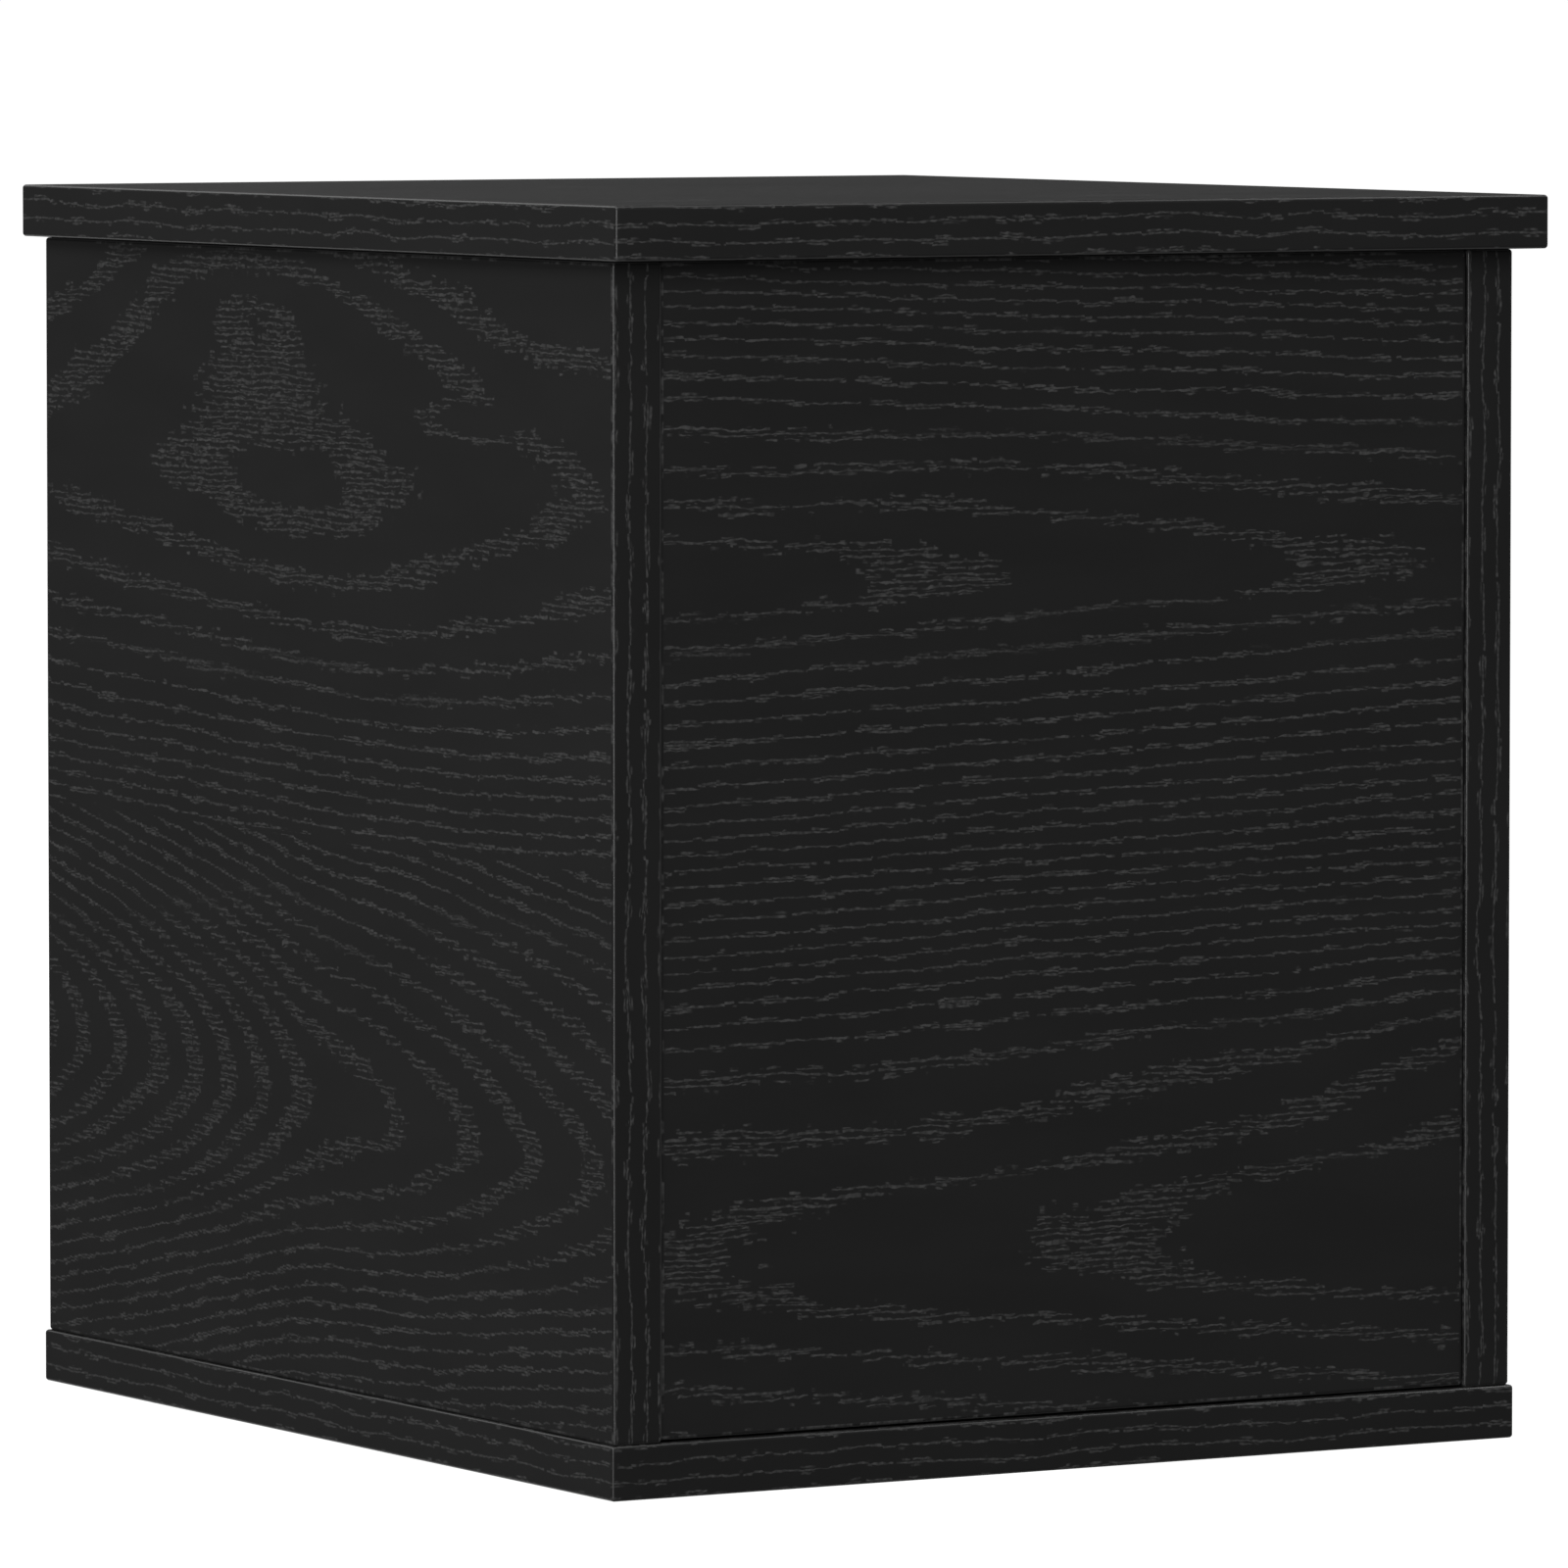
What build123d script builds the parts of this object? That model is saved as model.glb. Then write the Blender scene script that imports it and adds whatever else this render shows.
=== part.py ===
from build123d import *
import os

# A small flat-pack storage box with a hinged lid, made of laminated 15 mm board.
# Millimetres, +Z up. The origin is on the floor, under the middle of the lid.
# +X is the box's right-hand side and -Y is its front, where the lid stands out as a finger lip.

# Boards
lid_width = 300.0
lid_depth = 350.0
total_height = 350.0
board = 15.0                 # thickness of every board
band = 1.2                   # thickness of the strips glued on the boards' edges
edge_radius = 1.0            # rounding of every outer edge, cut into the strips only

# How the boards stand to each other
lid_side_overhang = 5.0
lid_front_overhang = 10.5
lid_rear_overhang = 5.0
lid_gap = 0.3                # air under the closed lid
base_step = 1.0              # the base stands out past the walls all round
panel_recess = 1.0           # the front and back panels sit back from the sides' edges
panel_floor_gap = 0.5        # the front and back panels are cut short, and hang clear of the base

# Butt hinges, with their pins just behind the side panels' rear edges
hinge_length = 50.0
hinge_spacing = 170.0
leaf_thickness = band
leaf_reach = 15.0            # from the pin to the leaf's inner edge
leaf_corner_radius = 3.0
knuckle_count = 5
knuckle_end_gap = 0.3
swing_clearance = 0.35       # room round the knuckles, cut in the boards and the other leaf
pin_radius = 1.0
pin_running_clearance = 0.05
pin_head_radius = 1.7
pin_head_length = 0.6
pin_behind_sides = 0.5
pin_end_room = 0.5
leaf_recess_slack = 0.1
hinge_screw_pitch_x = 17.0
hinge_screw_rows_y = (-6.5, -10.0, -6.5)
hinge_screw_lengths = {"back": 16.0, "lid": 12.0}
hinge_screw_radius = 1.5
hinge_screw_head_radius = 2.7
hinge_screw_head_height = 1.2

# Cam fittings, dowels and base screws
cam_radius = 7.4
cam_height = 12.2
cam_bore_radius = 7.5
cam_bore_depth = 12.5
cam_setback = 24.0           # from the panel's end to the cam's centre
cam_sunk = 0.2
cam_heights = (48.0, 272.0)  # above the base's top
bolt_bore_radius = 4.0
bolt_thread_radius = 3.0
bolt_thread_length = 11.0
bolt_bore_in_side = 11.5
dowel_radius = 3.95
dowel_length = 29.0
dowel_bore_radius = 4.0
dowel_bore_in_side = 10.0
dowel_bore_in_panel = 20.0
dowel_heights = (80.0, 240.0)
base_screw_length = 48.0
base_screw_shank_radius = 3.0
base_screw_thread_radius = 2.5
base_screw_head_radius = 4.75
base_screw_head_height = 3.0
base_screw_sunk = 0.3
base_screw_x = 70.0          # along the front and back panels, each side of the middle
base_screw_y = 105.0         # along the side panels, each side of the middle
fit_slack = 0.05             # radial play of a screw in its hole
tip_room = 0.5               # a screw's hole is this much longer than the screw
bore_overrun = 1.0           # how far a cut runs past the face that it opens

# Levels and planes worked out from the dimensions above
left = -lid_width / 2 + lid_side_overhang
right = -left
front = -lid_depth / 2 + lid_front_overhang
rear = lid_depth / 2 - lid_rear_overhang
middle_y = (front + rear) / 2
lid_underside = total_height - board
wall_top = lid_underside - lid_gap
wall_bottom = board
inner_left = left + board
inner_right = right - board
front_panel_y = front + panel_recess
back_panel_y = rear - panel_recess - board
panel_bottom = wall_bottom + panel_floor_gap
pin_y = rear + pin_behind_sides
pin_z = (wall_top + lid_underside) / 2
knuckle_radius = pin_radius + pin_running_clearance + leaf_thickness
X, Y, Z = 0, 1, 2

pieces = {}


def block(low, high):
    """A box between two opposite corners."""
    size = [high[axis] - low[axis] for axis in (X, Y, Z)]
    return Pos(*low) * Box(*size, align=(Align.MIN, Align.MIN, Align.MIN))


def rod(radius, length, start=0.0):
    """A cylinder along +Z whose lower end is at z = start."""
    return Pos(0, 0, start) * Cylinder(radius, length, align=(Align.CENTER, Align.CENTER, Align.MIN))


def cone(bottom_radius, top_radius, height, start=0.0):
    """A cone along +Z whose lower end is at z = start."""
    align = (Align.CENTER, Align.CENTER, Align.MIN)
    return Pos(0, 0, start) * Cone(bottom_radius, top_radius, height, align=align)


def thread(radius, depth, pitch, length, start=0.0):
    """A rod along +Z with ridged flanks standing for its thread."""
    root = radius - depth
    outline = [(0, start), (root, start)]
    turns = int(length / pitch)
    for turn in range(turns):
        foot = start + turn * pitch
        outline += [(radius, foot + pitch * 0.4), (radius, foot + pitch * 0.55), (root, foot + pitch)]
    outline += [(root, start + length), (0, start + length)]
    outline = [point for n, point in enumerate(outline) if n == 0 or point != outline[n - 1]]
    profile = make_face(Polyline(*outline, close=True))
    return revolve(Plane.XZ * profile, Axis.Z)


def narrowed(low, high, axis, by):
    """The two corners brought together by a distance at both ends of one axis."""
    low, high = list(low), list(high)
    low[axis] += by
    high[axis] -= by
    return low, high


def banded_board(name, stem, low, high, through, between):
    """A board core and its four edge strips.

    Two strips, at the ends of one axis, run through to the corners, and the other two fit
    between them. The outer edges are rounded all round, within the strips' thickness.
    """
    whole = block(low, high)
    whole = fillet(whole.edges(), edge_radius)
    through_axis, through_names = through
    between_axis, between_names = between
    core_low, core_high = narrowed(low, high, through_axis, band)
    strips = [(through_axis, through_names, low, high)]
    strips.append((between_axis, between_names, core_low, core_high))
    for axis, names, strip_low, strip_high in strips:
        near_high = list(strip_high)
        near_high[axis] = low[axis] + band
        far_low = list(strip_low)
        far_low[axis] = high[axis] - band
        pieces[f"{stem}_{names[0]}_edge_band"] = whole & block(strip_low, near_high)
        pieces[f"{stem}_{names[1]}_edge_band"] = whole & block(far_low, strip_high)
    core_low, core_high = narrowed(core_low, core_high, between_axis, band)
    pieces[name] = block(core_low, core_high)


def make_boards():
    """The six boards of the box, each a core with four edge strips."""
    lid_low = (-lid_width / 2, -lid_depth / 2, lid_underside)
    lid_high = (lid_width / 2, lid_depth / 2, total_height)
    banded_board("lid_board", "lid", lid_low, lid_high, (Y, ("front", "rear")), (X, ("left", "right")))

    base_low = (left - base_step, front - base_step, 0)
    base_high = (right + base_step, rear + base_step, board)
    banded_board("base_board", "base", base_low, base_high, (Y, ("front", "rear")), (X, ("left", "right")))

    for side, x in (("left", left), ("right", inner_right)):
        low = (x, front, wall_bottom)
        high = (x + board, rear, wall_top)
        edges = (Y, ("front", "rear")), (Z, ("bottom", "top"))
        banded_board(f"{side}_side_panel", f"{side}_side", low, high, *edges)

    for panel, y in (("front_panel", front_panel_y), ("back_panel", back_panel_y)):
        low = (inner_left, y, panel_bottom)
        high = (inner_right, y + board, wall_top)
        edges = (Z, ("bottom", "top")), (X, ("left", "right"))
        banded_board(panel, panel, low, high, *edges)


def drill(nodes, holes):
    """Cut the same holes in several nodes."""
    for node in nodes:
        for hole in holes:
            pieces[node] = pieces[node] - hole


def cam_lock():
    """A cam's zinc barrel along +Z, its driving face on top, open towards +X for the bolt's head."""
    tunnel_radius, tunnel_start = 3.4, -3.0
    tunnel_height = cam_bore_depth - board / 2
    slot_length, slot_width, slot_depth = 9.0, 1.6, 2.0
    rim_chamfer = 0.4
    barrel = rod(cam_radius, cam_height)
    barrel = chamfer(barrel.edges().group_by(Axis.Z)[-1], rim_chamfer)
    tunnel_length = cam_radius - tunnel_start + bore_overrun
    barrel -= Pos(tunnel_start, 0, tunnel_height) * Rot(0, 90, 0) * rod(tunnel_radius, tunnel_length)
    for turn in (0, 90):
        slot = Pos(0, 0, cam_height - slot_depth / 2) * Rot(0, 0, turn)
        barrel -= slot * Box(slot_length, slot_width, slot_depth)
    return barrel


def cam_bolt():
    """A bolt whose thread runs along +Z from the joint, with its shank and head along -Z."""
    collar, shank, neck, head = (3.6, 1.0), (2.6, 16.5), (1.75, 3.5), (2.9, 3.5)
    thread_depth, thread_pitch = 0.6, 1.6
    shape = thread(bolt_thread_radius, thread_depth, thread_pitch, bolt_thread_length)
    level = 0.0
    for radius, length in (collar, shank, neck, head):
        level -= length
        shape += rod(radius, length, level)
    return shape


def dowel():
    """A beech dowel along +Z with chamfered ends and shallow glue flutes."""
    end_chamfer, flute_radius, flutes = 0.8, 0.35, 12
    shape = rod(dowel_radius, dowel_length)
    shape = chamfer(shape.edges(), end_chamfer)
    for n in range(flutes):
        groove = Rot(0, 0, 360 / flutes * n) * Pos(dowel_radius, 0, 0)
        shape -= groove * rod(flute_radius, dowel_length + 2 * bore_overrun, -bore_overrun)
    return shape


def make_cam_joints():
    """Cams, bolts and dowels that hold the front and back panels between the sides."""
    cams, bolts, dowels = [], [], []
    dowel_end = dowel_bore_in_side - (dowel_bore_in_side + dowel_bore_in_panel - dowel_length) / 2
    for side, face_x, outward in (("left", inner_left, -1), ("right", inner_right, 1)):
        into_side = Rot(0, 90 * outward, 0)
        into_panel = Rot(0, -90 * outward, 0)
        for panel, y, inward in (("front_panel", front_panel_y, 1), ("back_panel", back_panel_y, -1)):
            axis_y = y + board / 2
            inner_face_y = axis_y + inward * board / 2
            panel_nodes = (panel, f"{panel}_{side}_edge_band")
            side_node = f"{side}_side_panel"
            for height in cam_heights:
                joint = Pos(face_x, axis_y, wall_bottom + height)
                thread_bore = rod(bolt_thread_radius + fit_slack, bolt_bore_in_side)
                drill(panel_nodes, [joint * into_panel * rod(bolt_bore_radius, cam_setback)])
                drill([side_node], [joint * into_side * thread_bore])
                bolts.append(joint * into_side * cam_bolt())

                centre_x = face_x - outward * cam_setback
                bore_floor = Pos(centre_x, inner_face_y - inward * cam_bore_depth, wall_bottom + height)
                upright = Rot(-90 * inward, 0, 0)
                cam_bore = rod(cam_bore_radius, cam_bore_depth + bore_overrun)
                drill([panel], [bore_floor * upright * cam_bore])
                cam_foot = Pos(0, 0, cam_bore_depth - cam_height - cam_sunk)
                facing = Rot(0, 0, 0 if outward > 0 else 180)
                cams.append(bore_floor * upright * cam_foot * facing * cam_lock())
            for height in dowel_heights:
                joint = Pos(face_x, axis_y, wall_bottom + height)
                drill(panel_nodes, [joint * into_panel * rod(dowel_bore_radius, dowel_bore_in_panel)])
                drill([side_node], [joint * into_side * rod(dowel_bore_radius, dowel_bore_in_side)])
                dowels.append(joint * into_side * Pos(0, 0, dowel_end - dowel_length) * dowel())
    pieces["cam_locks"] = Compound(children=cams)
    pieces["cam_bolts"] = Compound(children=bolts)
    pieces["dowels"] = Compound(children=dowels)


def base_screw_hole():
    """The stepped, countersunk hole for one base screw, along +Z from the base's underside."""
    shank_radius = base_screw_shank_radius + fit_slack
    head_radius = base_screw_head_radius + fit_slack
    hole = rod(base_screw_thread_radius + fit_slack, base_screw_length + tip_room)
    hole += rod(shank_radius, board)
    hole += cone(head_radius, shank_radius, base_screw_head_height, base_screw_sunk)
    hole += rod(head_radius, base_screw_sunk)
    return hole


def base_screw():
    """A countersunk one-piece connector with a hexagon socket, along +Z from its head."""
    socket_radius, socket_depth, thread_depth, thread_pitch = 2.2, 2.6, 0.6, 3.0
    thread_start = board - base_screw_sunk
    shank_length = thread_start - base_screw_head_height
    thread_length = base_screw_length - base_screw_sunk - thread_start
    shape = cone(base_screw_head_radius, base_screw_shank_radius, base_screw_head_height)
    shape += rod(base_screw_shank_radius, shank_length, base_screw_head_height)
    shape += thread(base_screw_thread_radius, thread_depth, thread_pitch, thread_length, thread_start)
    shape -= extrude(RegularPolygon(socket_radius, 6), socket_depth)
    return shape


def make_base_screws():
    """Screws up through the base into the bottom edges of the four walls."""
    screws = []
    places = []
    for sign in (-1, 1):
        side = "left" if sign < 0 else "right"
        side_nodes = (f"{side}_side_panel", f"{side}_side_bottom_edge_band")
        side_x = sign * (right - board / 2)
        for step in (-1, 1):
            places.append((side_x, middle_y + step * base_screw_y, side_nodes))
        for panel, y in (("front_panel", front_panel_y), ("back_panel", back_panel_y)):
            panel_nodes = (panel, f"{panel}_bottom_edge_band")
            places.append((sign * base_screw_x, y + board / 2, panel_nodes))
    for x, y, wall_nodes in places:
        drill(("base_board", *wall_nodes), [Pos(x, y, 0) * base_screw_hole()])
        screws.append(Pos(x, y, base_screw_sunk) * base_screw())
    pieces["base_screws"] = Compound(children=screws)


def hinge_screw_hole(length):
    """The countersunk hole for one hinge screw, along -Z from the leaf's face."""
    shank_radius = hinge_screw_radius + fit_slack
    head_radius = hinge_screw_head_radius + 2 * fit_slack
    sink_depth = hinge_screw_head_height + fit_slack
    hole = rod(shank_radius, length + tip_room, -length - tip_room)
    hole += cone(shank_radius, head_radius, sink_depth, -sink_depth)
    return hole


def hinge_screw(length):
    """A countersunk wood screw with a cross recess, along -Z from the leaf's face."""
    recess_length, recess_width, recess_depth = 2.6, 0.6, 0.9
    thread_depth, thread_pitch, point_length, point_radius = 0.35, 1.2, 3.0, 0.3
    head_foot = -hinge_screw_head_height - fit_slack
    thread_start = point_length - length
    shape = cone(hinge_screw_radius, hinge_screw_head_radius, hinge_screw_head_height, head_foot)
    shape += cone(point_radius, hinge_screw_radius - thread_depth, point_length, -length)
    shape += thread(hinge_screw_radius, thread_depth, thread_pitch, head_foot - thread_start, thread_start)
    for turn in (0, 90):
        cross = Pos(0, 0, -fit_slack - recess_depth / 2) * Rot(0, 0, turn)
        shape -= cross * Box(recess_length, recess_width, recess_depth)
    return shape


def leaf_plate(slack=0.0):
    """A hinge leaf's flat plate, lying under z = 0 and reaching from the pin's line to -Y."""
    low = (-hinge_length / 2 - slack, -leaf_reach - slack, -leaf_thickness)
    high = (hinge_length / 2 + slack, 0, 0)
    plate = block(low, high)
    inner_corners = plate.edges().filter_by(Axis.Z).group_by(Axis.Y)[0]
    return fillet(inner_corners, leaf_corner_radius)


def knuckle_spans():
    """The start and end of each knuckle along the pin."""
    length = (hinge_length - (knuckle_count - 1) * knuckle_end_gap) / knuckle_count
    starts = [-hinge_length / 2 + n * (length + knuckle_end_gap) for n in range(knuckle_count)]
    return [(start, start + length) for start in starts]


def along_x(radius, start, end):
    """A cylinder round the pin's line from one x to another."""
    return Pos(start, 0, 0) * Rot(0, 90, 0) * rod(radius, end - start)


def screw_places():
    """The three staggered screw places in a leaf."""
    return [((n - 1) * hinge_screw_pitch_x, y) for n, y in enumerate(hinge_screw_rows_y)]


def hinge_leaf(own_knuckles):
    """A leaf under the pin, with every other knuckle. The pin's line is the X axis."""
    face = -lid_gap / 2
    leaf = Pos(0, 0, face) * leaf_plate()
    for n, (start, end) in enumerate(knuckle_spans()):
        if n in own_knuckles:
            leaf += along_x(knuckle_radius, start, end)
        else:
            reach = knuckle_radius + swing_clearance
            low = (start - knuckle_end_gap, -reach, -reach)
            high = (end + knuckle_end_gap, reach, reach)
            leaf -= block(low, high)
    leaf -= along_x(pin_radius + pin_running_clearance, -hinge_length, hinge_length)
    for x, y in screw_places():
        leaf -= Pos(x, y, face) * hinge_screw_hole(leaf_thickness + bore_overrun)
    return leaf


def hinge_pin():
    """A pin along X with a flat head at each end."""
    half = hinge_length / 2
    pin = along_x(pin_radius, -half, half)
    for start, end in ((-half - pin_head_length, -half), (half, half + pin_head_length)):
        pin += along_x(pin_head_radius, start, end)
    return pin


def make_hinges():
    """Two butt hinges let into the back panel's top edge and the lid's underside."""
    fixed_screws, lid_screws = [], []
    face = -lid_gap / 2
    upside_down = Rot(0, 180, 0)
    room = knuckle_radius + swing_clearance
    room_end = hinge_length / 2 + pin_head_length + pin_end_room
    for side, sign in (("left", -1), ("right", 1)):
        place = Pos(sign * hinge_spacing / 2, pin_y, pin_z)
        pieces[f"{side}_hinge_back_leaf"] = place * hinge_leaf((0, 2, 4))
        pieces[f"{side}_hinge_lid_leaf"] = place * upside_down * hinge_leaf((1, 3))
        pieces[f"{side}_hinge_pin"] = place * hinge_pin()

        knuckle_room = place * along_x(room, -room_end, room_end)
        for turn, part, nodes, screws in (
            (Rot(0, 0, 0), "back", ("back_panel", "back_panel_top_edge_band"), fixed_screws),
            (upside_down, "lid", ("lid_board",), lid_screws),
        ):
            length = hinge_screw_lengths[part]
            recess = place * turn * Pos(0, 0, face) * leaf_plate(leaf_recess_slack)
            drill(nodes, [knuckle_room, recess])
            for x, y in screw_places():
                spot = place * turn * Pos(x, y, face)
                drill(nodes, [spot * hinge_screw_hole(length)])
                screws.append(spot * hinge_screw(length))
    pieces["back_leaf_screws"] = Compound(children=fixed_screws)
    pieces["lid_leaf_screws"] = Compound(children=lid_screws)


make_boards()
make_cam_joints()
make_base_screws()
make_hinges()

os.makedirs("parts", exist_ok=True)
for node, shape in pieces.items():
    shape.label = node
    export_step(shape, f"parts/{node}.step")
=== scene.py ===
"""Looks for the lidded storage box: black oak laminate, edge strips, fittings, studio and camera."""

import math

import bpy
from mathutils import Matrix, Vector


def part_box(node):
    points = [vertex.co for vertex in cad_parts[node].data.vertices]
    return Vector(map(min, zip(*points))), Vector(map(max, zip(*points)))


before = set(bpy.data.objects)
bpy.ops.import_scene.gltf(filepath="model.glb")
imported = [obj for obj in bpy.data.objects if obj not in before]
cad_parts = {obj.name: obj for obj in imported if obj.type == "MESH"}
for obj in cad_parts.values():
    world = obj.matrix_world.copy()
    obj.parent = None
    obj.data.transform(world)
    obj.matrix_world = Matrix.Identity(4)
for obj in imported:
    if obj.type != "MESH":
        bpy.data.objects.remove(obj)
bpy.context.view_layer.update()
MM = 1000.0     # millimetres in a metre
X, Y, Z = 0, 1, 2


# ---------------------------------------------------------------- shader building
class Shader:
    """A small wrapper that adds nodes to a tree and links them as they are made."""

    def __init__(self, tree):
        self.tree = tree

    def add(self, kind, settings=None, **inputs):
        node = self.tree.nodes.new(kind)
        for name, value in (settings or {}).items():
            setattr(node, name, value)
        for name, value in inputs.items():
            self.feed(node, name.replace("_", " "), value)
        return node

    def feed(self, node, socket, value):
        target = node.inputs[socket]
        if isinstance(value, bpy.types.NodeSocket):
            self.tree.links.new(value, target)
        else:
            target.default_value = value

    def math(self, operation, *values):
        node = self.add("ShaderNodeMath", {"operation": operation})
        for place, value in enumerate(values):
            self.feed(node, place, value)
        return node.outputs[0]

    def plus(self, first, second):
        return self.math("ADD", first, second)

    def times(self, first, second):
        return self.math("MULTIPLY", first, second)

    def vector(self, x, y, z=0.0):
        node = self.add("ShaderNodeCombineXYZ")
        for place, value in enumerate((x, y, z)):
            self.feed(node, place, value)
        return node.outputs[0]

    def noise(self, along, across, length, height, seed=0.0, detail=2.0):
        """Noise about 0.5, with grains about length by height in the units of along and across."""
        place = self.vector(self.times(along, 1 / length), self.times(across, 1 / height), seed)
        return self.add("ShaderNodeTexNoise", Vector=place, Scale=1.0, Detail=detail).outputs["Fac"]

    def shake(self, along, across, length, height, size, seed=0.0, detail=2.0):
        """The same noise centred on 0 and scaled by size."""
        noise = self.noise(along, across, length, height, seed, detail)
        return self.times(self.plus(noise, -0.5), size)

    def fade(self, value, start, end, low=0.0, high=1.0):
        """Smoothly from low, where value is start, to high, where it is end."""
        smooth = {"interpolation_type": "SMOOTHSTEP", "clamp": True}
        node = self.add("ShaderNodeMapRange", smooth, Value=value)
        ends = {"From Min": start, "From Max": end, "To Min": low, "To Max": high}
        for socket, number in ends.items():
            self.feed(node, socket, number)
        return node.outputs["Result"]

    def blend(self, factor, first, second):
        """The number first where factor is 0, and second where it is 1."""
        change = self.plus(second, self.times(first, -1))
        return self.plus(first, self.times(factor, change))

    def mix(self, factor, first, second):
        """The colour first where factor is 0, and second where it is 1."""
        node = self.add("ShaderNodeMix", {"data_type": "RGBA"})
        self.feed(node, 0, factor)
        self.feed(node, 6, first)
        self.feed(node, 7, second)
        return node.outputs[2]

    def curve(self, value, points):
        """A smooth curve through given (value, result) points, and straight on past its ends."""
        starts = [point[0] for point in points]
        results = [point[1] for point in points]
        low, span = min(starts), max(starts) - min(starts)
        floor, rise = min(results), max(results) - min(results)
        node = self.add("ShaderNodeFloatCurve")
        self.feed(node, "Value", self.times(self.plus(value, -low), 1 / span))
        line = node.mapping.curves[0]
        while len(line.points) < len(points):
            line.points.new(0.5, 0.5)
        for handle, (start, result) in zip(line.points, points):
            handle.location = ((start - low) / span, (result - floor) / rise)
            handle.handle_type = "AUTO_CLAMPED"
        node.mapping.update()
        return self.plus(self.times(node.outputs[0], rise), floor)

    def length(self, first, second):
        """The distance from the origin of a point with two coordinates."""
        squares = self.plus(self.times(first, first), self.times(second, second))
        return self.math("SQRT", squares)

    def hump(self, along, across, middle, reach, height):
        """A smooth hump of one height round a middle point, gone at 1.6 times its reach each way."""
        aside = self.times(self.plus(along, -middle[0]), 1 / reach[0])
        above = self.times(self.plus(across, -middle[1]), 1 / reach[1])
        return self.fade(self.length(aside, above), 0.0, 1.6, height, 0.0)


def grey(level):
    return (level, level, level, 1.0)


def material(name):
    made = bpy.data.materials.new(name)
    made.use_nodes = True
    made.node_tree.nodes.clear()
    return made, Shader(made.node_tree)


def surface(shader, **inputs):
    bsdf = shader.add("ShaderNodeBsdfPrincipled", **inputs)
    output = shader.add("ShaderNodeOutputMaterial")
    shader.tree.links.new(bsdf.outputs[0], output.inputs["Surface"])


def bump(shader, height, depth, strength=1.0):
    """A bump whose height of 1 is depth metres."""
    node = shader.add("ShaderNodeBump", Height=height, Distance=depth, Strength=strength)
    return node.outputs["Normal"]


def object_mm(shader):
    """The object's own X, Y and Z in millimetres."""
    place = shader.add("ShaderNodeTexCoord").outputs["Object"]
    split = shader.add("ShaderNodeSeparateXYZ", Vector=place)
    return [shader.times(axis, MM) for axis in split.outputs]


# ---------------------------------------------------------------- black oak laminate
LAMINATE_BLACK = 0.040
PORE_GREY = 0.175
EDGE_HIGHLIGHT_GREY = 0.150    # painted highlight: grey laid on the middle of a strip's rounding, where the edge catches light
FRONT_SHADE_SHARE = 0.88      # painted shade: black of the strips that face the front or rear, as a share of the others'
STRIP_LINE = 5.0        # millimetres between the lines on a strip, a third of its width
STRIP_SHIFT = 370.0     # millimetres of grain from where one strip starts to where the next does
ROW = 1.8               # millimetres from one row of pores to the next, in a wide belt
STEP = 0.5              # millimetres that a thin line of pores steps up or down at a time
SEAM = 156              # millimetres over the base's top where the knot's leaf meets the arches'


def node_group(name, given, made):
    """A new node group, its Shader and its input sockets."""
    group = bpy.data.node_groups.new(name, "ShaderNodeTree")
    for socket in given:
        group.interface.new_socket(socket, in_out="INPUT", socket_type="NodeSocketFloat")
    for socket in made:
        group.interface.new_socket(socket, in_out="OUTPUT", socket_type="NodeSocketFloat")
    shader = Shader(group)
    return group, shader, shader.add("NodeGroupInput").outputs


def stroke(shader, along, line, offset, seed):
    """A thin line of pores where offset, in millimetres, is near 0. line is the line's number."""
    wiggle = shader.shake(along, line, 2.6, 0.31, 1.0, seed=seed, detail=1.5)
    off_middle = shader.math("ABSOLUTE", shader.plus(offset, wiggle))
    width = shader.noise(along, line, 4.0, 0.37, seed=seed + 1, detail=2.0)
    half = shader.plus(shader.fade(width, 0.3, 0.7, 0.16, 0.40), -0.12)
    ink = shader.fade(shader.plus(off_middle, shader.times(half, -1)), 0.0, 0.24, 1.0, 0.0)
    gaps = shader.noise(along, line, 4.5, 0.43, seed=seed + 2, detail=1.0)
    unbroken = shader.fade(gaps, 0.32, 0.38)
    beads = shader.noise(along, line, 1.9, 0.47, seed=seed + 3, detail=2.5)
    bead = shader.fade(beads, 0.32, 0.72, 0.25, 1.0)
    return shader.times(shader.times(ink, unbroken), bead)


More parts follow.
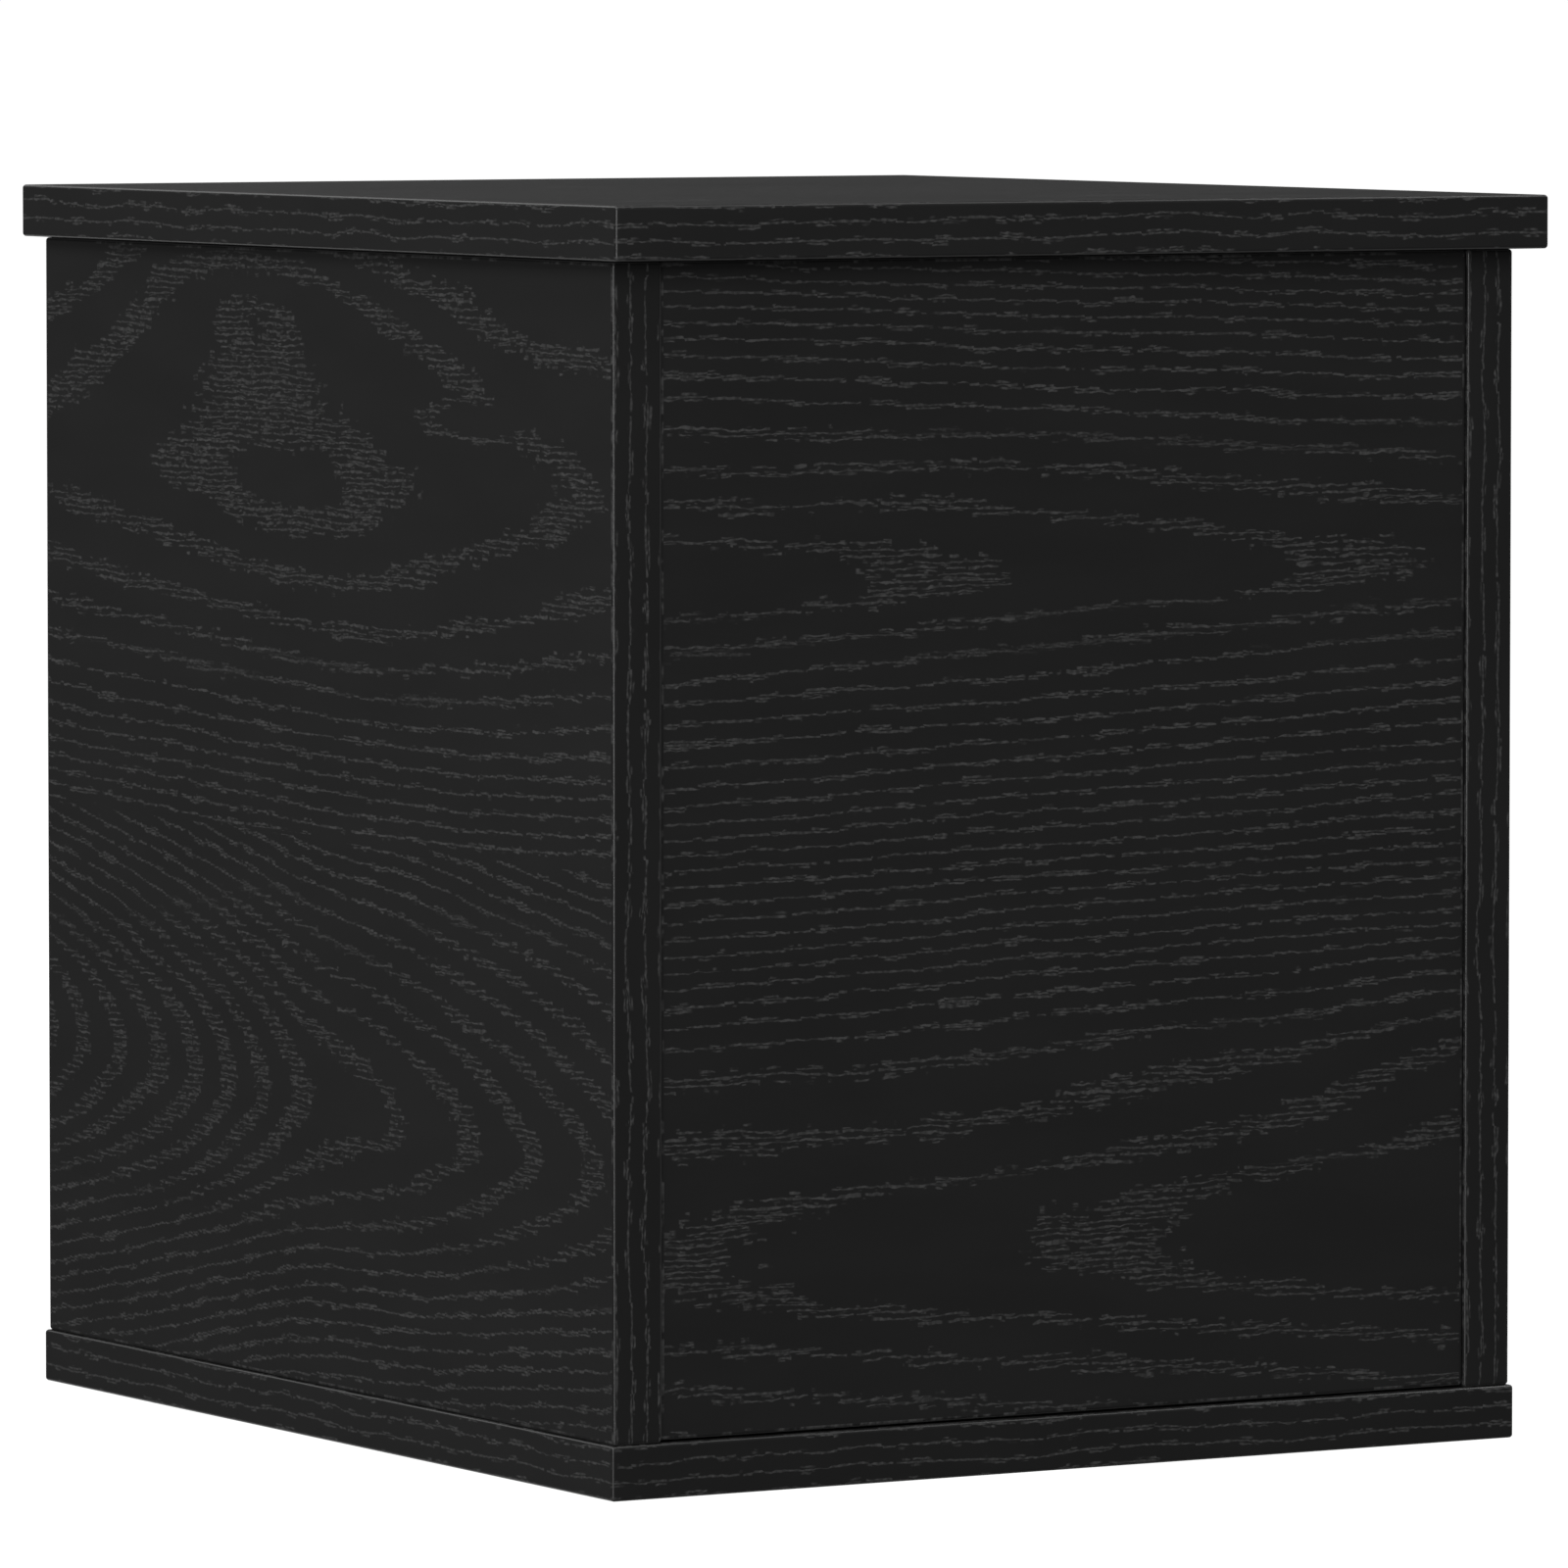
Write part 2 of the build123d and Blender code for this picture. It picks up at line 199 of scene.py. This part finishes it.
def wide_belt_group():
    """Pores in level rows, where a year ring's wide belt crosses them, so its edges look combed."""
    inputs = ("Along", "Row", "Offset", "Ring", "Steepness", "Slant")
    group, shader, given = node_group("wide_belt_pores", inputs, ("Pores",))
    along, row, offset, ring, steepness, slant = [given[name] for name in inputs]
    ragged = shader.plus(ring, shader.shake(along, row, 6.0, 0.27, 0.42, seed=3.0, detail=1.5))
    number = shader.math("ROUND", ragged)
    breadth = shader.noise(along, number, 32.0, 0.23, seed=7.0, detail=1.0)
    half = shader.fade(breadth, 0.35, 0.65, 0.10, 0.20)
    # At least half a row high, so that no belt slips through between two rows
    half = shader.math("MAXIMUM", half, shader.times(steepness, 0.55 * ROW))
    half = shader.plus(half, shader.fade(slant, 0.02, 0.04, 0.0, 0.06))
    inside = shader.plus(half, shader.times(shader.math("PINGPONG", ragged, 0.5), -1))
    belt = shader.fade(inside, -0.015, 0.015)
    pores = stroke(shader, along, row, offset, 10.0)
    for side, seed in ((0.8, 50.0), (-0.7, 60.0)):
        chance = shader.noise(along, row, 5.0, 0.53, seed=seed + 5, detail=1.0)
        here = shader.fade(chance, 0.55, 0.61, 0.0, 0.8)
        second = stroke(shader, along, row, shader.plus(offset, side), seed)
        pores = shader.math("MAXIMUM", pores, shader.times(second, here))
    shader.feed(shader.add("NodeGroupOutput"), 0, shader.times(belt, pores))
    return group


def thin_line_group():
    """Pores in stepped lines that follow each year ring, with more beside it where rings are wide."""
    inputs = ("Along", "Across", "Ring", "Steepness")
    group, shader, given = node_group("thin_line_pores", inputs, ("Pores",))
    along, across, ring, steepness = [given[name] for name in inputs]
    number = shader.math("ROUND", ring)
    beside = shader.math("DIVIDE", shader.plus(ring, shader.times(number, -1)), steepness)
    middle = shader.plus(across, shader.times(beside, -1))
    middle = shader.plus(middle, shader.shake(along, number, 12.0, 0.29, 1.6, seed=5.0, detail=1.0))
    stepped = shader.times(shader.math("ROUND", shader.times(middle, 1 / STEP)), STEP)
    offset = shader.plus(across, shader.times(stepped, -1))
    pores = stroke(shader, along, number, offset, 20.0)
    steep = shader.math("ABSOLUTE", steepness)
    spaced_out = shader.fade(steep, 0.16, 0.24, 0.04, 0.0)
    for side, seed in ((0.85, 30.0), (-0.85, 40.0)):
        chance = shader.noise(along, number, 12.0, 0.53, seed=seed + 5, detail=1.0)
        here = shader.fade(shader.plus(chance, spaced_out), 0.57, 0.62)
        second = stroke(shader, along, number, shader.plus(offset, side), seed)
        pores = shader.math("MAXIMUM", pores, shader.times(second, here))
    off_seam = shader.fade(steep, 0.5, 0.6, 1.0, 0.0)
    shader.feed(shader.add("NodeGroupOutput"), 0, shader.times(pores, off_seam))
    return group


def rounding(shader):
    """1 in the middle of a rounded edge, and 0 on every face that is square to the object's axes."""
    normal = shader.add("ShaderNodeTexCoord").outputs["Normal"]
    split = shader.add("ShaderNodeSeparateXYZ", Vector=normal)
    x, y, z = [shader.math("ABSOLUTE", part) for part in split.outputs]
    squareness = shader.math("MAXIMUM", shader.math("MAXIMUM", x, y), z)
    return shader.fade(squareness, 0.90, 0.75)


def use_group(shader, group, values):
    node = shader.add("ShaderNodeGroup", {"node_tree": group})
    for socket, value in enumerate(values):
        shader.feed(node, socket, value)
    return node.outputs[0]


def pore_mask(shader, along, across, rings, seed):
    """Where the pores are: rings gives the year ring's number, with a belt on each whole number."""
    # The grain sways, and the rows of pores wobble, so that nothing runs dead straight
    sway = shader.shake(along, across, 60.0, 25.0, 4.0, seed=seed + 0.5, detail=2.0)
    wobble = shader.plus(
        shader.shake(along, across, 28.0, 9.0, 1.6, seed=seed, detail=1.0),
        shader.shake(along, across, 7.0, 2.5, 0.7, seed=seed + 0.2, detail=1.0),
    )
    row_place = shader.plus(shader.times(across, 1 / ROW), wobble)
    row = shader.math("FLOOR", row_place)
    row_offset = shader.times(shader.plus(shader.math("FRACT", row_place), -0.5), ROW)
    row_across = shader.times(shader.plus(row, 0.5), ROW)
    row_ring = rings(shader, along, shader.plus(row_across, sway))

    # How fast the ring's number changes per millimetre, across the grain and along it
    swayed = shader.plus(across, sway)
    ring = rings(shader, along, swayed)
    above = rings(shader, along, shader.plus(swayed, 1.0))
    beside = rings(shader, shader.plus(along, 1.0), swayed)
    steepness = shader.plus(above, shader.times(ring, -1))
    steep = shader.math("ABSOLUTE", steepness)
    slant = shader.math("ABSOLUTE", shader.plus(beside, shader.times(ring, -1)))

    wide = use_group(shader, WIDE_BELTS, (along, row, row_offset, row_ring, steep, slant))
    thin = use_group(shader, THIN_LINES, (along, across, ring, steepness))
    close_rings = shader.fade(steep, 0.105, 0.135)
    level = shader.fade(shader.math("DIVIDE", slant, steep), 0.14, 0.20, 1.0, 0.0)
    thin_here = shader.math("MAXIMUM", shader.times(close_rings, level), shader.fade(steep, 0.14, 0.18))
    wide_here = shader.fade(thin_here, 0.0, 1.0, 1.0, 0.0)
    return shader.plus(shader.times(thin, thin_here), shader.times(wide, wide_here))


def laminate(name, along, across, rings, seed, black=LAMINATE_BLACK):
    """The laminate. along, across and rings are functions that build on the object's millimetres."""
    made, shader = material(name)
    places = object_mm(shader)
    along = along(shader, places)
    across = across(shader, places)
    edge_highlight = rounding(shader)
    mask = pore_mask(shader, along, across, rings, seed)
    mask = shader.times(mask, shader.fade(edge_highlight, 0.0, 0.5, 1.0, 0.0))

    tone = shader.noise(along, across, 60.0, 18.0, seed=31.0, detail=3.0)
    ground = shader.mix(shader.fade(tone, 0.3, 0.7), grey(black * 0.94), grey(black * 1.06))
    colour = shader.mix(mask, ground, grey(PORE_GREY))
    # Painted highlight: the middle of each rounded edge is lightened to a grey that stands in for the
    # light it catches
    colour = shader.mix(edge_highlight, colour, grey(EDGE_HIGHLIGHT_GREY))
    fine = shader.noise(along, across, 0.5, 0.35, seed=41.0, detail=2.0)
    roughness = shader.plus(shader.fade(fine, 0.2, 0.8, 0.34, 0.42), shader.times(mask, 0.12))
    height = shader.plus(shader.times(mask, -1.0), shader.times(fine, 0.10))
    surface(
        shader,
        Base_Color=colour,
        Roughness=roughness,
        Specular_IOR_Level=0.25,
        Coat_Weight=shader.times(edge_highlight, 0.8),
        Coat_Roughness=0.2,
        Normal=bump(shader, height, 0.00006, 0.5),
    )
    return made


def axis(place, origin=0.0, direction=1.0):
    """A coordinate along one of the object's axes, in millimetres from an origin."""
    return lambda shader, places: shader.times(shader.plus(places[place], -origin), direction)


def knotted_leaf(shader, along, across):
    """Veneer with a flat knot high up, over a stack of arches that point along the board.

    along is from the board's rear edge and across from the base's top, both in millimetres.
    """
    # The knot: rings round a flat eye, which lean to the rear above it and to the front below it
    leaning = shader.plus(along, shader.curve(across, [(215, -35), (252, 0), (310, 25)]))
    aside_places = [(-40, -24.2), (0, -20.6), (73, -14), (150, 0), (227, 14), (359, 27)]
    aside = shader.curve(leaning, aside_places)
    aside = shader.times(aside, shader.fade(across, 225, 258, 1.35, 1.0))
    over_eye = [(271, 10), (287, 12.5), (298, 16), (309, 19.5), (315, 21.5), (320, 24)]
    above = shader.curve(across, [(SEAM, -99), (255, 0)] + over_eye)
    from_eye = shader.length(aside, above)
    inner = [(0, -0.8), (6, -0.2), (14, 0.17)]
    over = shader.curve(from_eye, inner + [(22.3, 1), (26.5, 2), (31, 2.45), (46, 3)])
    near_under = [(24.5, 1), (37.5, 2), (47.5, 3), (56.5, 4), (65, 5)]
    under = shader.curve(from_eye, inner + near_under + [(88, 9), (106, 13)])
    knot = shader.blend(shader.fade(across, 243, 262), under, over)
    for middle, reach, height in (
        ((129, 300), (28, 9), -0.5),
        ((248, 274), (30, 5), 0.6),
        ((334, 275), (50, 20), -0.75),
        ((20, 300), (45, 20), 0.45),
    ):
        knot = shader.plus(knot, shader.hump(along, across, middle, reach, height))

    # The arches: their tips lie on a line that falls a little towards the front
    tip_places = [(0, -2), (47, 0), (93, 2), (134, 4), (158, 5), (213, 6), (289, 8), (334, 9.3)]
    from_line = shader.plus(shader.plus(across, -89), shader.times(along, 0.05))
    tips = shader.times(shader.curve(along, tip_places), shader.fade(from_line, 15, 75, 1.0, 0.6))
    lower = [(-89, 13.4), (-62, 7.7), (-48, 4.9), (-30, 2.1), (-15, 0.7), (0, 0)]
    upper = [(10, 0.25), (20, 0.9), (30, 2.2), (45, 4.6), (82, 12)]
    arms = shader.curve(from_line, lower + upper)
    arches = shader.plus(tips, arms)
    return shader.blend(shader.math("GREATER_THAN", across, SEAM), arches, knot)


def arched_leaf(shader, along, across):
    """Veneer with one set of arches pointing each way, and close straight rings between them.

    along is from the board's middle and across from the base's top, both in millimetres.
    """
    low_arches = [(0, 3.2), (26, 1), (33, 0.42), (47, 0.08), (64, 0.42), (70, 1), (103, 3)]
    low_arches += [(117, 5), (136, 9)]
    high_arches = [(188, 20), (220, 24.8), (232, 25.7), (250, 24.9), (270, 23), (289, 20), (319, 13)]
    cross = shader.curve(across, low_arches + high_arches)
    ring = shader.plus(cross, shader.times(along, -1 / 133))
    # The rings run level again near the board's ends
    for middle, reach, height in (
        ((135, 90), (45, 20), -0.6),
        ((-145, 88), (80, 22), -0.65),
        ((-145, 262), (90, 18), -0.75),
    ):
        ring = shader.plus(ring, shader.hump(along, across, middle, reach, height))
    return shader.math("MAXIMUM", ring, -0.62)


def strip_rings(shader, along, across):
    """Edge strip: straight lines, evenly apart."""
    return shader.times(across, 1 / STRIP_LINE)


WIDE_BELTS = wide_belt_group()
THIN_LINES = thin_line_group()


def paint(node, made):
    """Give a CAD node one material."""
    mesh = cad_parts[node].data
    mesh.materials.clear()
    mesh.materials.append(made)


def paint_boards():
    """Each board gets its own veneer: where the grain starts and which way it runs differ."""
    base_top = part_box("base_board")[1][Z] * MM
    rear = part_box("left_side_rear_edge_band")[1][Y] * MM
    height = axis(Z, base_top)
    boards = {
        "left_side_panel": (axis(Y, rear, -1), height, knotted_leaf),
        "right_side_panel": (axis(Y, rear - 20, -1), axis(Z, base_top + 8), knotted_leaf),
        "front_panel": (axis(X), height, arched_leaf),
        "back_panel": (axis(X, 30, -1), axis(Z, base_top - 12), arched_leaf),
        "lid_board": (axis(X, 20), axis(Y, -170), arched_leaf),
        "base_board": (axis(X, -10, -1), axis(Y, -175), arched_leaf),
    }
    for seed, (node, (along, across, rings)) in enumerate(boards.items()):
        paint(node, laminate(node + "_laminate", along, across, rings, 50.0 + seed))


def wavy(across, seed):
    """A strip's coordinate across its width, which sways along it so that its lines are wavy."""
    place, middle, along_place = across

    def build(shader, places):
        centred = shader.plus(places[place], -middle)
        sway = shader.shake(places[along_place], centred, 42.0, 60.0, 5.0, seed, 1.0)
        return shader.plus(centred, sway)

    return build


def paint_strips():
    """Edge strips: the grain runs along each strip's longest side and its lines lie across the next."""
    strips = [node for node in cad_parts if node.endswith("_edge_band")]
    for number, node in enumerate(strips):
        low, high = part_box(node)
        long_axis, wide_axis, thin_axis = sorted((X, Y, Z), key=lambda place: low[place] - high[place])
        middle = (low[wide_axis] + high[wide_axis]) / 2 * MM
        across = wavy((wide_axis, middle - STRIP_LINE / 2, long_axis), 70.0 + number)
        along = axis(long_axis, STRIP_SHIFT * number)
        # Painted shade: strips that face the front or rear get a darker black than the others, by the
        # way they face
        black = LAMINATE_BLACK * (FRONT_SHADE_SHARE if thin_axis == Y else 1.0)
        paint(node, laminate(node + "_finish", along, across, strip_rings, 90.0 + number, black))


# ---------------------------------------------------------------- fittings
def metal(name, tint, roughness, scratch):
    made, shader = material(name)
    x, y, z = object_mm(shader)
    across = shader.plus(y, z)
    brushed = shader.noise(x, across, 6.0, 0.12, seed=2.0, detail=3.0)
    cloudy = shader.noise(x, across, 3.0, 3.0, seed=7.0, detail=3.0)
    dark = tuple(channel * 0.75 for channel in tint[:3]) + (1.0,)
    colour = shader.mix(shader.fade(cloudy, 0.3, 0.7), dark, tint)
    rough = shader.fade(brushed, 0.3, 0.7, roughness - 0.08, roughness + 0.1)
    surface(
        shader,
        Base_Color=colour,
        Metallic=1.0,
        Roughness=rough,
        Normal=bump(shader, brushed, 0.00001, scratch),
    )
    return made


def beech():
    made, shader = material("beech_dowel_wood")
    x, y, z = object_mm(shader)
    fleck = shader.noise(x, shader.plus(y, z), 4.0, 0.5, seed=9.0, detail=3.0)
    colour = shader.mix(shader.fade(fleck, 0.35, 0.7), (0.52, 0.33, 0.18, 1), (0.66, 0.46, 0.28, 1))
    surface(shader, Base_Color=colour, Roughness=0.7, Normal=bump(shader, fleck, 0.00005, 0.4))
    return made


def paint_fittings():
    plated = metal("zinc_plated_steel", (0.62, 0.62, 0.63, 1), 0.32, 0.3)
    cast = metal("die_cast_zinc", (0.50, 0.50, 0.51, 1), 0.42, 0.5)
    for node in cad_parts:
        if "hinge" in node or node.endswith("screws") or node == "cam_bolts":
            paint(node, plated)
    paint("cam_locks", cast)
    paint("dowels", beech())


paint_boards()
paint_strips()
paint_fittings()


# ---------------------------------------------------------------- studio
def make_floor():
    """A large pale floor that glows like a light table, so that it stays white far away."""
    reach = 400.0
    corners = [(-reach, -reach, 0), (reach, -reach, 0), (reach, reach, 0), (-reach, reach, 0)]
    mesh = bpy.data.meshes.new("studio_floor")
    mesh.from_pydata(corners, [], [(0, 1, 2, 3)])
    floor = bpy.data.objects.new("studio_floor", mesh)
    floor.visible_glossy = False
    floor.visible_diffuse = False
    floor.visible_shadow = False
    bpy.context.scene.collection.objects.link(floor)
    made, shader = material("floor_paint")
    x, y, z = object_mm(shader)
    mottle = shader.noise(x, y, 300.0, 300.0, seed=1.0, detail=3.0)
    colour = shader.mix(mottle, grey(0.80), grey(0.84))
    surface(
        shader,
        Base_Color=colour,
        Roughness=0.9,
        Specular_IOR_Level=0.1,
        Emission_Color=grey(1.0),
        Emission_Strength=0.93,
    )
    mesh.materials.append(made)


BOX_MIDDLE = Vector((0, 0, 0.175))


def make_softbox(name, azimuth, elevation, distance, width, height, radiance):
    """A soft light that faces the box. Azimuth 0 is in front of it, and 90 is on its right."""
    turn, tilt = math.radians(azimuth), math.radians(elevation)
    towards = Vector(
        (math.sin(turn) * math.cos(tilt), -math.cos(turn) * math.cos(tilt), math.sin(tilt))
    )
    light = bpy.data.lights.new(name, "AREA")
    light.shape = "RECTANGLE"
    light.size = width
    light.size_y = height
    light.energy = radiance * math.pi * width * height
    lamp = bpy.data.objects.new(name, light)
    lamp.location = BOX_MIDDLE + towards * distance
    lamp.rotation_mode = "QUATERNION"
    lamp.rotation_quaternion = (-towards).to_track_quat("-Z", "Y")
    lamp.visible_camera = False
    bpy.context.scene.collection.objects.link(lamp)


def make_lights():
    world = bpy.data.worlds.new("studio_air")
    bpy.context.scene.world = world
    world.use_nodes = True
    world.node_tree.nodes["Background"].inputs["Color"].default_value = grey(1.0)
    world.node_tree.nodes["Background"].inputs["Strength"].default_value = 0.100
    #            name, azimuth, elevation, distance, width, height and radiance
    make_softbox("left_softbox", -90, 42, 2.2, 1.6, 0.9, 2.0)
    make_softbox("right_softbox", 90, 42, 2.2, 1.6, 0.9, 2.0)
    make_softbox("front_softbox", 0, 28, 2.4, 1.8, 1.2, 1.0)
    make_softbox("rear_softbox", 180, 32, 2.6, 1.8, 0.9, 0.5)
    make_softbox("low_rear_softbox", 180, -30, 2.6, 1.8, 0.9, 0.4)
    make_softbox("corner_strip", -62, 2, 2.6, 0.3, 0.9, 6.0)


def make_camera():
    """The camera stands to the front left, a little above the lid, with a long lens."""
    azimuth, elevation = math.radians(-30.42), math.radians(3.82)
    distance = 3.607
    target = Vector((0.0048, 0.0, 0.1798))
    back = Vector(
        (
            math.sin(azimuth) * math.cos(elevation),
            -math.cos(azimuth) * math.cos(elevation),
            math.sin(elevation),
        )
    )
    data = bpy.data.cameras.new("camera")
    data.lens = 289.1
    data.sensor_width = 36.0
    data.clip_end = 2000.0
    camera = bpy.data.objects.new("camera", data)
    camera.location = target + back * distance
    camera.rotation_mode = "QUATERNION"
    camera.rotation_quaternion = (-back).to_track_quat("-Z", "Y")
    bpy.context.scene.collection.objects.link(camera)
    bpy.context.scene.camera = camera
    bpy.context.scene.view_settings.view_transform = "Standard"


make_floor()
make_lights()
make_camera()
